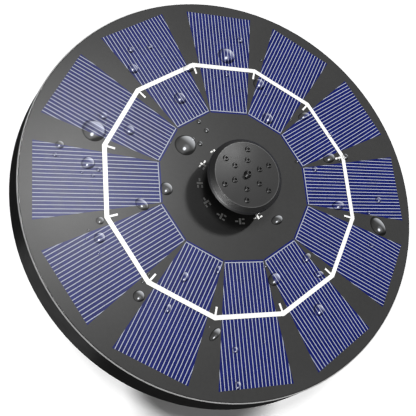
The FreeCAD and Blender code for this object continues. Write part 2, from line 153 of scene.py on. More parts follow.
class Material(Graph):
    """A Principled material. Every texture reads object coordinates in metres."""

    def __init__(self, name):
        self.material = bpy.data.materials.new(name)
        super().__init__(self.material, "OutputMaterial")
        self.surface = self.node("BsdfPrincipled")
        self.put(self.output, self.surface.outputs[0])
        self.coords = self.node("TexCoord").outputs["Object"]

    def noise(self, scale, detail=3.0, roughness=0.55, distortion=0.0, stretch=None):
        coords = self.coords
        if stretch:
            coords = self.node("Mapping", {"Vector": coords, "Scale": stretch}).outputs[0]
        inputs = {
            "Vector": coords, "Scale": scale, "Detail": detail,
            "Roughness": roughness, "Distortion": distortion,
        }
        return self.node("TexNoise", inputs).outputs["Fac"]

    def voronoi(self, scale, output="Distance"):
        return self.node("TexVoronoi", {"Vector": self.coords, "Scale": scale}).outputs[output]

    def spread(self, value, low, high, band=MID):
        """Stretch the band of a noise value to low..high."""
        return self.remap(value, *band, low, high)

    def mix(self, factor, first, second):
        inputs = {"Factor": factor, 6: first, 7: second}
        return self.node("Mix", inputs, data_type="RGBA").outputs[2]

    def tint(self, value, first, second, band=MID):
        """Go from the first colour to the second across the band of a noise value."""
        return self.mix(self.remap(value, *band), first, second)

    def scaled(self, color, factor):
        inputs = {0: color, "Scale": factor}
        return self.node("VectorMath", inputs, operation="SCALE").outputs[0]

    def speckled(self, color, noise, amount):
        """Brighten and darken a colour by a share of itself."""
        return self.scaled(color, self.spread(noise, 1.0 - amount, 1.0 + amount, WIDE))

    def bump(self, height, strength, distance=0.03 * MM):
        inputs = {"Strength": strength, "Distance": distance, "Height": height}
        return self.node("Bump", inputs).outputs[0]

    def wear(self, radius, least, amount):
        """Patchy mask of sharp edges, from how far a rounded normal leans from the true one."""
        rounded = self.node("Bevel", {"Radius": radius}, samples=6).outputs[0]
        true = self.node("NewGeometry").outputs["Normal"]
        dot = self.node("VectorMath", {0: rounded, 1: true}, operation="DOT_PRODUCT")
        lean = self.math("SUBTRACT", 1.0, dot.outputs["Value"])
        edge = self.remap(lean, low=0.02, high=0.22, smooth=True)
        patches = self.remap(self.noise(scale=320), low=0.35, high=0.7, to_low=least)
        return self.math("MULTIPLY", self.math("MULTIPLY", edge, patches), amount)

    def finish(self, **surface):
        for name, value in surface.items():
            self.put(self.surface.inputs[SURFACE_INPUTS[name]], value)
        return self.material


# ---------------------------------------------------------------- material recipes
def moulded(name, dark, light, roughness, grain_scale=2600, grain=0.10, bump=0.25,
            worn=None, wear=0.5, roughness_by=0.07):
    """Moulded plastic: faint flow mottling, fine grain and, with a worn colour, worn edges."""
    mat = Material(name)
    mottle = mat.noise(scale=45, distortion=0.6)
    fine = mat.noise(scale=grain_scale, detail=2, roughness=0.6)
    color = mat.speckled(mat.tint(mottle, dark, light), fine, grain)
    rough = mat.spread(mat.noise(scale=180), roughness - roughness_by, roughness + roughness_by)
    if worn is not None:
        edges = mat.wear(radius=0.35 * MM, least=0.35, amount=wear)
        color = mat.mix(edges, color, worn)
        polish = mat.math("MULTIPLY", edges, 0.12)
        rough = mat.math("SUBTRACT", rough, polish)
    return mat.finish(color=color, roughness=rough, normal=mat.bump(fine, bump))


def flecked(name, scale, dark, light, roughness, bump, depth, detail=3, noise_roughness=0.6,
            band=MID, bump_scale=None, **surface):
    """One noise drives colour and roughness, and the bump too unless bump_scale is given."""
    mat = Material(name)
    flecks = mat.noise(scale=scale, detail=detail, roughness=noise_roughness)
    relief = mat.noise(scale=bump_scale, detail=2) if bump_scale else flecks
    return mat.finish(
        color=mat.tint(flecks, dark, light),
        roughness=mat.spread(flecks, *roughness, band),
        normal=mat.bump(relief, bump, depth),
        **surface,
    )


def metal(name, dark, light, roughness, stretch=(1.0, 1.0, 12.0), scale=600.0, bump=0.2):
    """Bare metal with drawn streaks."""
    mat = Material(name)
    streaks = mat.noise(scale=scale, roughness=0.6, stretch=stretch)
    broad = mat.noise(scale=160, roughness=0.6)
    return mat.finish(
        color=mat.tint(streaks, dark, light),
        metallic=1.0,
        roughness=mat.spread(broad, roughness - 0.08, roughness + 0.08),
        normal=mat.bump(streaks, bump, distance=0.02 * MM),
    )


def rubber(name, dark, light, roughness=0.62):
    mat = Material(name)
    fine = mat.noise(scale=2400, roughness=0.6)
    return mat.finish(
        color=mat.tint(fine, dark, light),
        roughness=mat.spread(mat.noise(scale=300), roughness - 0.07, roughness + 0.07),
        normal=mat.bump(fine, strength=0.3),
        sheen=0.1,
    )


def foam(name, scale, band, centre, wall, roughness, sheen, bump, depth, raised):
    """Foam coloured from the centre of each cell to its wall. raised lifts the centres."""
    mat = Material(name)
    cells = mat.voronoi(scale=scale)
    relief = mat.math("SUBTRACT", 1.0, cells) if raised else cells
    return mat.finish(
        color=mat.tint(cells, centre, wall, band),
        roughness=roughness,
        sheen=sheen,
        normal=mat.bump(relief, bump, depth),
    )


# Mean roughness shared by the resin and the cells, so that the face reads as one surface
FACE_ROUGHNESS = 0.42


def satin_resin():
    """Dark satin grey with the faint grain of cast resin."""
    mat = Material("face_resin_satin")
    fine = mat.noise(scale=5200, detail=2, roughness=0.6)
    medium = mat.noise(scale=700, roughness=0.6)
    broad = mat.noise(scale=38, detail=2, roughness=0.5)
    color = mat.tint(broad, (0.0410, 0.0410, 0.0406), (0.0465, 0.0465, 0.0461))
    fine_grain = mat.spread(fine, 0.90, 1.10, WIDE)
    medium_grain = mat.spread(medium, -0.05, 0.05)
    relief = mat.math("ADD", fine, mat.math("MULTIPLY", medium, 0.6))
    return mat.finish(
        color=mat.scaled(color, mat.math("ADD", fine_grain, medium_grain)),
        roughness=mat.spread(
            mat.noise(scale=160), FACE_ROUGHNESS - 0.008, FACE_ROUGHNESS + 0.008),
        normal=mat.bump(relief, strength=0.10),
    )


def silicon():
    """Blue polycrystalline silicon: large grains that differ a little in tone."""
    mat = Material("silicon_blue")
    tone = mat.xyz(mat.voronoi(scale=520, output="Color"))[0]
    broad = mat.noise(scale=90, roughness=0.6)
    color = mat.tint(broad, (0.0026, 0.0072, 0.104), (0.0042, 0.0096, 0.128))
    crystals = mat.remap(tone, 0.0, 1.0, to_low=0.88, to_high=1.12)
    grain = mat.spread(mat.noise(scale=4200, detail=2), 0.94, 1.06, WIDE)
    return mat.finish(
        color=mat.scaled(color, mat.math("MULTIPLY", crystals, grain)),
        roughness=mat.remap(tone, 0.0, 1.0, FACE_ROUGHNESS - 0.012, FACE_ROUGHNESS + 0.012),
        normal=mat.bump(mat.noise(scale=3600, detail=2), strength=0.06, distance=0.02 * MM),
    )


def tinned_ribbon():
    """Bright tinned ribbon with drawn streaks."""
    mat = Material("tinned_ribbon")
    streaks = mat.noise(scale=900, roughness=0.6, distortion=1.2, stretch=(1.0, 1.0, 0.2))
    ripple = mat.noise(scale=3200, detail=2, roughness=0.5)
    return mat.finish(
        color=mat.tint(streaks, (0.93, 0.93, 0.91), (0.985, 0.985, 0.965)),
        roughness=mat.spread(streaks, 0.30, 0.48, WIDE),
        specular=0.8,
        normal=mat.bump(ripple, strength=0.25, distance=0.02 * MM),
    )


def black_shell():
    """Black plastic, with its sloping lip just under the level of the face painted pale as a
    highlight line.
    """
    mat = Material("shell_black")
    z = mat.xyz(mat.coords)[2]
    upward = mat.xyz(mat.node("NewGeometry").outputs["True Normal"])[2]
    # Mask of the sloping lip under the face level, which gets a painted highlight
    high = mat.remap(z, Z_FACE - 0.50 * MM, Z_FACE - 0.40 * MM)
    not_steep = mat.remap(upward, low=0.34, high=0.48)
    not_flat = mat.remap(upward, low=0.93, high=0.985, to_low=1.0, to_high=0.0)
    painted_lip_highlight = mat.math("MULTIPLY", high, mat.math("MULTIPLY", not_steep, not_flat))

    mottle = mat.noise(scale=45, distortion=0.6)
    fine = mat.noise(scale=3400, detail=2, roughness=0.6)
    color = mat.tint(mottle, (0.0058, 0.0058, 0.0060), (0.0082, 0.0082, 0.0084))
    color = mat.speckled(color, fine, amount=0.10)
    edges = mat.wear(radius=0.3 * MM, least=0.3, amount=0.30)
    color = mat.mix(edges, color, (0.10, 0.10, 0.103))
    flat = mat.remap(upward, low=0.96, high=0.99)
    color = mat.mix(mat.math("MULTIPLY", flat, high), color, grey(0.040))
    # Painted highlight: the lip is painted pale, in patches, as a bright line along the edge
    lip_highlight_patches = mat.spread(mat.noise(scale=420), 0.85, 1.0)
    color = mat.mix(mat.math("MULTIPLY", painted_lip_highlight, lip_highlight_patches), color, grey(0.62))
    return mat.finish(
        color=color,
        roughness=mat.spread(mat.noise(scale=180), 0.30, 0.38),
        normal=mat.bump(fine, strength=0.10),
    )


def grey_nozzle():
    """Grey top of the spray cap, a painted highlight ring at its rim and a darker flank."""
    mat = Material("nozzle_grey")
    rim_z = Z_CAP - 1.9 * MM
    rim = max(
        math.hypot(vertex.co.x, vertex.co.y)
        for vertex in nodes["spray_cap"].data.vertices
        if abs(vertex.co.z - rim_z) < 0.03 * MM
    )
    x, y, _ = mat.xyz(mat.coords)
    radius = mat.length(x, y)
    outside = (rim + 0.02 * MM, rim + 0.10 * MM)
    flank = mat.remap(radius, *outside)
    # Mask of a thin ring just inside the rim of the top, which gets a painted highlight
    ring = mat.math(
        "MULTIPLY",
        mat.remap(radius, rim - 0.34 * MM, rim - 0.18 * MM),
        mat.remap(radius, *outside, to_low=1.0, to_high=0.0),
    )
    fine = mat.noise(scale=3600, detail=2, roughness=0.6)
    broad = mat.noise(scale=60, roughness=0.5)
    color = mat.tint(broad, grey(0.0400), grey(0.0460))
    color = mat.mix(flank, color, grey(0.0125))
    # Painted highlight: the ring is painted pale, in patches
    rim_highlight_patches = mat.spread(mat.noise(scale=500), 0.55, 0.85)
    color = mat.mix(mat.math("MULTIPLY", ring, rim_highlight_patches), color, grey(0.115))
    top_roughness = mat.spread(mat.noise(scale=180), 0.36, 0.42)
    return mat.finish(
        color=mat.speckled(color, fine, amount=0.08),
        roughness=mat.math("ADD", top_roughness, mat.math("MULTIPLY", flank, 0.10)),
        normal=mat.bump(fine, strength=0.08),
    )


# ---------------------------------------------------------------- materials on the frame's pieces
def paint(material, *pieces):
    for piece in pieces:
        slots = nodes[piece].data.materials
        slots.clear()
        slots.append(material)
    return material


paint(satin_resin(), "face_resin")
paint(silicon(), "solar_cells")
silver_paste = flecked(
    "silver_paste", scale=3000, dark=(0.345, 0.37, 0.45), light=(0.41, 0.435, 0.515),
    roughness=(0.42, 0.58), bump=0.3, depth=0.02 * MM, bump_scale=6000)
paint(tinned_ribbon(), "tab_ribbon", "interconnect_tabs")
paint(flecked(
    "tinned_pad", scale=1500, dark=(0.80, 0.80, 0.78), light=(0.92, 0.92, 0.90),
    roughness=(0.25, 0.45), band=WIDE, bump=0.5, depth=0.04 * MM, specular=0.8), "diode_pads")
paint(black_shell(), "float_shell")
paint(moulded(
    "base_black", dark=(0.0085, 0.0085, 0.0088), light=(0.0125, 0.0125, 0.0128),
    roughness=0.46, grain_scale=2200, grain=0.14, bump=0.35,
    worn=(0.06, 0.06, 0.062), wear=0.4), "float_base")
paint(moulded(
    "pump_black", dark=(0.0100, 0.0100, 0.0104), light=(0.0150, 0.0150, 0.0155),
    roughness=0.44, grain_scale=2400, grain=0.14, bump=0.32,
    worn=(0.07, 0.07, 0.072), wear=0.45), "pump_housing", "volute_cover")
paint(moulded(
    "strainer_black", dark=(0.0105, 0.0105, 0.0110), light=(0.0160, 0.0160, 0.0165),
    roughness=0.42, grain_scale=2400, grain=0.14, bump=0.32,
    worn=(0.08, 0.08, 0.082)), "strainer_cap")
paint(grey_nozzle(), "spray_cap")
paint(moulded(
    "nozzle_black", dark=grey(0.018), light=grey(0.024), roughness=0.42,
    worn=grey(0.08)), "nozzle_stem", "head_base")
paint(moulded(
    "impeller_white", dark=(0.60, 0.60, 0.57), light=(0.68, 0.68, 0.65), roughness=0.45,
    grain=0.05, worn=(0.75, 0.75, 0.72)), "impeller")
paint(moulded(
    "chip_black", dark=grey(0.012), light=grey(0.018), roughness=0.5,
    grain_scale=6000), "driver_chip")
paint(moulded(
    "potting_resin", dark=(0.010, 0.010, 0.011), light=(0.014, 0.014, 0.015),
    roughness=0.15, roughness_by=0.05, grain_scale=1200, bump=0.1), "potting_plug")
paint(metal(
    "stainless_screw", dark=(0.42, 0.42, 0.43), light=grey(0.62),
    roughness=0.30), "float_screws", "pump_screws")
paint(metal(
    "laminated_steel", dark=(0.20, 0.20, 0.21), light=(0.34, 0.34, 0.35), roughness=0.42,
    stretch=(1.0, 60.0, 1.0), scale=120.0, bump=0.7), "stator_core")
paint(metal(
    "enamelled_copper", dark=(0.52, 0.20, 0.08), light=(0.74, 0.34, 0.15), roughness=0.28,
    stretch=(1.0, 30.0, 1.0), scale=300.0, bump=0.8), "stator_coils")
paint(
    rubber("seal_black", dark=grey(0.012), light=grey(0.020)),
    "float_seal", "outlet_seal", "rear_shaft_cup", "front_shaft_cup", "wire_grommet",
    "head_washer")
paint(rubber(
    "seal_red", dark=(0.30, 0.030, 0.020), light=(0.42, 0.050, 0.032),
    roughness=0.5), "cover_seal", "stem_seal")
paint(rubber(
    "lead_red", dark=(0.36, 0.018, 0.012), light=(0.46, 0.028, 0.018),
    roughness=0.42), "lead_positive")
paint(rubber(
    "lead_black", dark=grey(0.012), light=grey(0.018), roughness=0.42), "lead_negative")
paint(flecked(
    "board_green", scale=900, dark=(0.010, 0.085, 0.035), light=(0.014, 0.110, 0.046),
    roughness=(0.28, 0.40), bump=0.3, depth=0.02 * MM, bump_scale=2600,
    coat=0.4, coat_roughness=0.15), "panel_board", "driver_board")
paint(flecked(
    "zirconia", scale=1800, dark=(0.72, 0.70, 0.65), light=(0.80, 0.78, 0.73),
    roughness=(0.12, 0.22), bump=0.1, depth=0.01 * MM, subsurface=0.05),
    "rotor_shaft", "rear_thrust_washer", "front_thrust_washer")
paint(flecked(
    "ferrite", scale=2600, detail=4, noise_roughness=0.7,
    dark=(0.030, 0.028, 0.027), light=(0.060, 0.056, 0.052),
    roughness=(0.45, 0.65), bump=0.6, depth=0.03 * MM), "rotor_magnet")
open_foam = paint(foam(
    "open_cell_foam", scale=1700, band=(0.1, 0.6), centre=(0.030, 0.030, 0.032),
    wall=(0.006, 0.006, 0.007), roughness=0.9, sheen=0.25,
    bump=0.9, depth=0.35 * MM, raised=True), "filter_sponge")
closed_foam = paint(foam(
    "closed_cell_foam", scale=1400, band=(0.0, 0.6), centre=(0.090, 0.090, 0.092),
    wall=(0.060, 0.060, 0.062), roughness=0.75, sheen=0.15,
    bump=0.5, depth=0.2 * MM, raised=False), "foam_ring")


# ---------------------------------------------------------------- mesh helper
def add_mesh(name, points, faces, material, smooth=False):
    mesh = bpy.data.meshes.new(name)
    mesh.from_pydata(points, [], faces)
    mesh.update()
    mesh.materials.append(material)
    added = bpy.data.objects.new(name, mesh)
    scene.collection.objects.link(added)
    if smooth:
        for polygon in mesh.polygons:
            polygon.use_smooth = True
    return added


# ---------------------------------------------------------------- printed lines on the cells
# The outline of the first cell is read from the frame, so the print always fits the wafer.
CELLS = 12
CELL_STEP = 360 / CELLS
FIRST_CELL = CELL_STEP / 2     # degrees from +X to the middle of the first cell
FINGERS = 20                   # finger places on a cell; those over the sloping ends may drop out
FINGER_PITCH = 1.37 * MM
FINGER_WIDTH = 0.305 * MM
PRINT_THICK = 0.02 * MM
COLLECTOR_IN = 0.82 * MM       # from the cell's inner edge to the middle of the collector line
COLLECTOR_HALF_WIDTH = 0.175 * MM
COLLECTOR_THICK = PRINT_THICK * 1.05
SIDE_GAP = 0.03 * MM           # finger to the cell's slanting side
OUTER_GAP = 0.02 * MM          # finger to the cell's outer edge
SHORTEST_FINGER = 1.0 * MM


def first_cell_outline():
    """Inner and outer distance of the first cell from the axis, and its half widths there."""
    angle = math.radians(FIRST_CELL)
    sideways = Vector((-math.sin(angle), math.cos(angle), 0))

    def outward(point):
        return point.x * math.cos(angle) + point.y * math.sin(angle)

    def half_width(distance):
        return max(abs(p.dot(sideways)) for p in points if abs(outward(p) - distance) < 0.2 * MM)

    points = [
        vertex.co for vertex in nodes["solar_cells"].data.vertices
        if vertex.co.z > Z_CELL - 0.02 * MM
        and abs(math.degrees(math.atan2(vertex.co.y, vertex.co.x)) - FIRST_CELL) < CELL_STEP / 2
    ]
    inner = min(outward(p) for p in points)
    outer = max(outward(p) for p in points)
    return inner, outer, half_width(inner), half_width(outer)


def cell_print():
    """Outline and thickness of each line on one cell, as (distance outward, offset sideways)."""
    inner, outer, inner_half, outer_half = first_cell_outline()
    slope = (outer_half - inner_half) / (outer - inner)
    collector = inner + COLLECTOR_IN
    tip = outer - OUTER_GAP
    lines = []
    for i in range(FINGERS):
        middle = (i - (FINGERS - 1) / 2) * FINGER_PITCH
        sides = (middle - FINGER_WIDTH / 2, middle + FINGER_WIDTH / 2)
        starts = []
        for side in sides:
            start = collector
            reach = abs(side) + SIDE_GAP
            if reach > inner_half:
                start = max(start, inner + (reach - inner_half) / slope)
            starts.append(start)
        if max(starts) > outer - SHORTEST_FINGER:
            continue
        outline = [(starts[0], sides[0]), (tip, sides[0]), (tip, sides[1]), (starts[1], sides[1])]
        lines.append((outline, PRINT_THICK))
    near, far = collector - COLLECTOR_HALF_WIDTH, collector + COLLECTOR_HALF_WIDTH
    half = inner_half + slope * 0.68 * MM - 0.06 * MM
    lines.append(([(near, -half), (far, -half), (far, half), (near, half)], COLLECTOR_THICK))
    return lines


def add_prism(points, faces, outline, bottom, top):
    start, count = len(points), len(outline)
    for z in (bottom, top):
        points.extend((x, y, z) for x, y in outline)
    faces.append(list(range(start + count, start + 2 * count)))
    faces.append(list(range(start + count - 1, start - 1, -1)))
    for i in range(count):
        j = (i + 1) % count
        faces.append([start + i, start + j, start + count + j, start + count + i])


def cell_fingers():
    points, faces = [], []
    lines = cell_print()
    for cell in range(CELLS):
        angle = math.radians(FIRST_CELL + CELL_STEP * cell)
        cos, sin = math.cos(angle), math.sin(angle)
        for outline, thick in lines:
            turned = [(cos * out - sin * off, sin * out + cos * off) for out, off in outline]
            add_prism(points, faces, turned, Z_FACE, Z_FACE + thick)
    return add_mesh("cell_fingers", points, faces, silver_paste)


fingers = cell_fingers()
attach(fingers, "float")

# ---------------------------------------------------------------- filter sponge and foam ring
foam_random = np.random.default_rng(23)


def lattice(nx, ny, nz, wrap=False):
    """Closed skin of an nx by ny by nz grid: points in 0..1 and quads. wrap joins the x ends."""
    index, points, quads = {}, [], []

    def at(i, j, k):
        if wrap:
            i %= nx
        if (i, j, k) not in index:
            index[i, j, k] = len(points)
            points.append((i / nx, j / ny, k / nz))
        return index[i, j, k]

    for i in range(nx):
        for j in range(ny):
            quads.append((at(i, j, 0), at(i, j + 1, 0), at(i + 1, j + 1, 0), at(i + 1, j, 0)))
            quads.append((at(i, j, nz), at(i + 1, j, nz), at(i + 1, j + 1, nz), at(i, j + 1, nz)))
        for k in range(nz):
            quads.append((at(i, 0, k), at(i + 1, 0, k), at(i + 1, 0, k + 1), at(i, 0, k + 1)))
            quads.append((at(i, ny, k), at(i, ny, k + 1), at(i + 1, ny, k + 1), at(i + 1, ny, k)))
    if not wrap:
        for j in range(ny):
            for k in range(nz):
                quads.append((at(0, j, k), at(0, j, k + 1), at(0, j + 1, k + 1), at(0, j + 1, k)))
                quads.append(
                    (at(nx, j, k), at(nx, j + 1, k), at(nx, j + 1, k + 1), at(nx, j, k + 1)))
    return np.array(points), quads


def porous(name, points, quads, pores, pore_radius, depth, inset, material):
    """Skin sunk along its normals into scattered round pores, and inset a little all over."""
    added = add_mesh(name, points.tolist(), quads, material, smooth=True)
    mesh = added.data
    normals = np.array([vertex.normal[:] for vertex in mesh.vertices])
    centres = []
    for i in foam_random.permutation(len(points)):
        point = points[i]
        if centres:
            nearest = np.min(np.sum((np.array(centres) - point) ** 2, 1))
            if nearest < (pore_radius * 1.25) ** 2:
                continue
        centres.append(point)
        if len(centres) >= pores:
            break
    centres = np.array(centres)
    radii = foam_random.uniform(0.75, 1.15, len(centres)) * pore_radius
    sink = np.zeros(len(points))
    batch = 2000  # points at a time, to bound the memory used
    for start in range(0, len(points), batch):
        part = slice(start, start + batch)
        squares = ((points[part, None, :] - centres[None]) ** 2).sum(2)
        bowl = np.clip(1.0 - squares / radii[None] ** 2, 0.0, 1.0)
        sink[part] = np.sqrt(bowl).max(1)
    inward = inset + depth * sink + foam_random.uniform(0.0, inset, len(points))
    mesh.vertices.foreach_set("co", (points - normals * inward[:, None]).ravel())
    mesh.update()
    return added


def filter_sponge():
    """Block whose outer side, toward -Y, follows a circle round the axis."""
    grid, quads = lattice(50, 34, 42)
    radius = plan_radii("filter_sponge").max()
    x = sponge_lo.x + grid[:, 0] * (sponge_hi.x - sponge_lo.x)
    outer_y = np.maximum(-np.sqrt(np.maximum(radius ** 2 - x ** 2, 0.0)), sponge_lo.y)
    y = outer_y + grid[:, 1] * (sponge_hi.y - outer_y)
    z = sponge_lo.z + grid[:, 2] * (sponge_hi.z - sponge_lo.z)
    return porous(
        "sponge_open_cell", np.stack([x, y, z], 1), quads, pores=1500, pore_radius=0.62 * MM,
        depth=0.55 * MM, inset=0.06 * MM, material=open_foam)


def foam_ring():
    grid, quads = lattice(240, 26, 8, wrap=True)
    radii = plan_radii("foam_ring")
    angle = grid[:, 0] * 2 * math.pi
    radius = radii.min() + grid[:, 1] * (radii.max() - radii.min())
    z = foam_lo.z + grid[:, 2] * (foam_hi.z - foam_lo.z)
    points = np.stack([radius * np.cos(angle), radius * np.sin(angle), z], 1)
    return porous(
        "foam_closed_cell", points, quads, pores=1600, pore_radius=0.9 * MM,
        depth=0.18 * MM, inset=0.05 * MM, material=closed_foam)


sponge = filter_sponge()
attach(sponge, "strainer")
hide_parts("filter_sponge")

ring = foam_ring()
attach(ring, "float")
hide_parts("foam_ring")

# ---------------------------------------------------------------- water drops on the face
# Columns: x, y, radius in mm, then for oval drops the width as a share of the length and
# the turn of the long axis from +X in degrees. The others are round.
DROPS = [
    (-60.15, -22.68, 1.25), (-60.37, -14.76, 1.16), (-55.78, -11.21, 0.54),
    (-52.32, -24.19, 1.99), (-49.29, -2.25, 2.7, 0.67, 105), (-37.53, -10.09, 2.36),
    (-36.04, -40.71, 1.48), (-31.26, -45.46, 4.11), (-28.88, -33.08, 1.96),
    (-33.26, -40.63, 0.55), (-26.91, -5.96, 0.93), (-22.93, -4.22, 1.02), (-18.36, -8.53, 1),
    (-19.08, -14.22, 4.13), (-20.61, -10.64, 0.8), (-21.07, -19.84, 0.5),
    (-28.51, -58.28, 1.46), (-25.33, -60.8, 0.79), (-24.08, -59.65, 0.28),
    (-20.04, -50.89, 2.29), (-17.04, -48.1, 0.88), (-17.29, -53.86, 0.62),
    (-15.36, -50.51, 0.7), (-13.91, -46.72, 0.64), (-4.64, -26.88, 2.41),
    (-1.3, -37.24, 2.77, 0.64, 36), (-57.91, 24.03, 1.28), (-52.01, 15.49, 3.56),
    (-43.92, 12.43, 1), (-47.74, 30.07, 0.6), (-37.63, 24.96, 2.47), (-32.85, 26.46, 0.58),
    (-22.61, 23.02, 2.41), (-20.51, 39.74, 3.01, 0.51, 97), (-20.13, 33.06, 0.54),
    (-10.28, 48.5, 0.93), (-0.94, 43.65, 2.97, 0.68, 91), (0.24, 51.43, 1.38),
    (0.61, 48.05, 0.91), (-2.8, 29.02, 1.42, 0.51, 95), (2.13, 35.29, 1.23),
    (21.2, 58.81, 1.38), (18.65, 39.34, 2.88, 0.63, 89), (0.6, -52.87, 1.36),
    (6.24, -54.67, 1.94), (5.36, -58.74, 0.6), (2.67, -57.51, 0.4), (11, -56.48, 0.66),
    (10.01, -54.33, 0.33), (22.61, -42.6, 0.51), (24.48, -45.36, 0.5), (28.52, -47.98, 1.99),
    (27.14, -30.94, 2.06, 0.69, 135), (35.47, -39.91, 1.74, 0.66, 141),
    (28.35, -18.32, 1.68, 0.56, 144), (48.71, -27.01, 2.79, 0.49, 120), (45.87, -28.26, 0.41),
    (55.94, -21.97, 1.18), (66.99, -25.21, 1.43, 0.87, 137), (17.31, 11.04, 2.62, 0.65, 97),
    (25.08, 51.93, 0.9), (31.39, 53.72, 4.43, 0.68, 23), (37.95, 47.12, 0.96),
    (34.2, 17.24, 2.29, 0.64, 122), (41.42, 19.7, 2.18, 0.6, 82), (37.8, 1.4, 2.85, 0.76, 108),
    (32.15, -0.12, 0.96), (53.58, 14.29, 2.18), (57.05, -10.65, 0.54), (64.24, -26.69, 0.44),
]
BIG_DROP = 1.6 * MM        # radius above which a drop is finer meshed, flatter and less round
TALLEST_RADIUS = 2.3 * MM  # drops wider than this grow no taller
DROP_LIFT = 0.03 * MM      # drop's foot above the face
DROP_SQUASH = 0.85
# Directions in the face plane, across the view and up it, that place the drops' shading
VIEW_SIDE = Vector((0.343, 0.939, 0.0))
VIEW_ABOVE = Vector((-0.968, 0.249, 0.0))


def water():
    """See-through film with painted shade at its rim, upper side and foot, and painted highlights.

    drop_place holds the place in a drop along VIEW_SIDE and VIEW_ABOVE, in shares of the
    drop's radius, and then the strength of its glow.
    """
    material = bpy.data.materials.new("water")
    graph = Graph(material, "OutputMaterial")
    place = graph.node("Attribute", attribute_name="drop_place").outputs["Vector"]
    side, above, strength = graph.xyz(place)

    def band(value, low, high, amount):
        return graph.math("MULTIPLY", graph.remap(value, low, high, smooth=True), amount)

    def patch(side_at, above_at, full, faded, amount):
        distance = graph.length(
            graph.math("SUBTRACT", side, side_at), graph.math("SUBTRACT", above, above_at))
        spot = graph.remap(distance, full, faded, to_low=1.0, to_high=0.0, smooth=True)
        return graph.math("MULTIPLY", spot, amount)

    def along(side_share, above_share):
        return graph.math(
            "ADD",
            graph.math("MULTIPLY", side, side_share),
            graph.math("MULTIPLY", above, above_share),
        )

    radius = graph.length(side, above)
    # Painted shade: a dark rim, a shaded upper side and a dark foot
    rim = band(radius, low=0.82, high=0.95, amount=0.56)
    upper_shade = band(along(-0.80, 0.60), low=0.45, high=0.95, amount=0.40)
    foot = band(along(0.35, -0.94), low=0.58, high=0.84, amount=0.72)
    dark = graph.math("MAXIMUM", graph.math("MAXIMUM", rim, upper_shade), foot)
    keep = graph.math("SUBTRACT", 1.0, dark, clamp=True)
    film = graph.transparent(graph.node("CombineColor", {0: keep, 1: keep, 2: keep}).outputs[0])

    # Painted light: a glow on the lit side, a soft halo and a sharp glint, all emission
    inside = graph.remap(radius, low=0.76, high=0.90, to_low=1.0, to_high=0.0, smooth=True)
    lit_side = graph.remap(along(0.62, 0.78), low=-0.02, high=0.80, smooth=True)
    glow = graph.math("MULTIPLY", graph.math("MULTIPLY", lit_side, inside), 0.50)
    halo = patch(side_at=-0.02, above_at=-0.36, full=0.06, faded=0.42, amount=0.10)
    spark = patch(side_at=-0.18, above_at=-0.47, full=0.07, faded=0.20, amount=0.95)
    soft = graph.math("MULTIPLY", graph.math("ADD", glow, halo), strength)
    light = graph.node(
        "Emission", {0: (0.92, 0.95, 1.0), 1: graph.math("ADD", soft, spark)}).outputs[0]

    seen = graph.node("AddShader", {0: film, 1: light}).outputs[0]
    shadow_ray = graph.node("LightPath").outputs["Is Shadow Ray"]
    graph.put(graph.output, graph.mix_shader(shadow_ray, seen, graph.transparent(grey(0.80))))
    return material


def water_drops():
    points, faces, places = [], [], []
    drop_random = random.Random(11)
    for x, y, radius, *oval in DROPS:
        x, y, radius = x * MM, y * MM, radius * MM
        width, turn = oval or (1, 0)
        big = radius > BIG_DROP
        segments, rings = (40, 12) if big else (20, 7)
        contact = math.radians(72 if big else 80)
        sphere = 1.0 / math.sin(contact)  # radius of the sphere, in shares of the drop's
        phases = [drop_random.uniform(0, 2 * math.pi) for _ in range(3)]
        wobble_by = 0.05 if big else 0.02
        cos, sin = math.cos(math.radians(turn)), math.sin(math.radians(turn))
        flatten = min(1.0, TALLEST_RADIUS / radius) if big else 1.0
        glow = max(0.50, min(1.0, radius / BIG_DROP))
        start = len(points)

        def height(polar):
            cap = radius * sphere * (math.cos(polar) - math.cos(contact))
            return Z_FACE + DROP_LIFT + cap * DROP_SQUASH * flatten * (0.5 + 0.5 * width)

        for i in range(1, rings + 1):
            polar = contact * i / rings
            share = sphere * math.sin(polar)
            for j in range(segments):
                around = 2 * math.pi * j / segments
                waves = (0.6 * math.sin(2 * around + phases[0])
                         + 0.4 * math.sin(3 * around + phases[1]))
                reach = radius * share * (1 + wobble_by * (i / rings) * waves)
                u, v = reach * math.cos(around), reach * math.sin(around) * width
                points.append((x + u * cos - v * sin, y + u * sin + v * cos, height(polar)))
                place_x = share * (math.cos(around) * cos - math.sin(around) * sin)
                place_y = share * (math.cos(around) * sin + math.sin(around) * cos)
                places.append((
                    place_x * VIEW_SIDE.x + place_y * VIEW_SIDE.y,
                    place_x * VIEW_ABOVE.x + place_y * VIEW_ABOVE.y,
                    glow,
                ))
        top = len(points)
        points.append((x, y, height(0.0)))
        places.append((0.0, 0.0, glow))
        for j in range(segments):
            faces.append([top, start + j, start + (j + 1) % segments])
        for i in range(rings - 1):
            for j in range(segments):
                this = start + i * segments + j
                after = start + i * segments + (j + 1) % segments
                faces.append([this, this + segments, after + segments, after])
    drops = add_mesh("water_drops", points, faces, water(), smooth=True)
    attribute = drops.data.attributes.new("drop_place", "FLOAT_VECTOR", "POINT")
    attribute.data.foreach_set("vector", np.array(places, dtype=np.float32).ravel())
    return drops


water_drops()

# ---------------------------------------------------------------- floor and world
FLOOR_HALF = 6.0


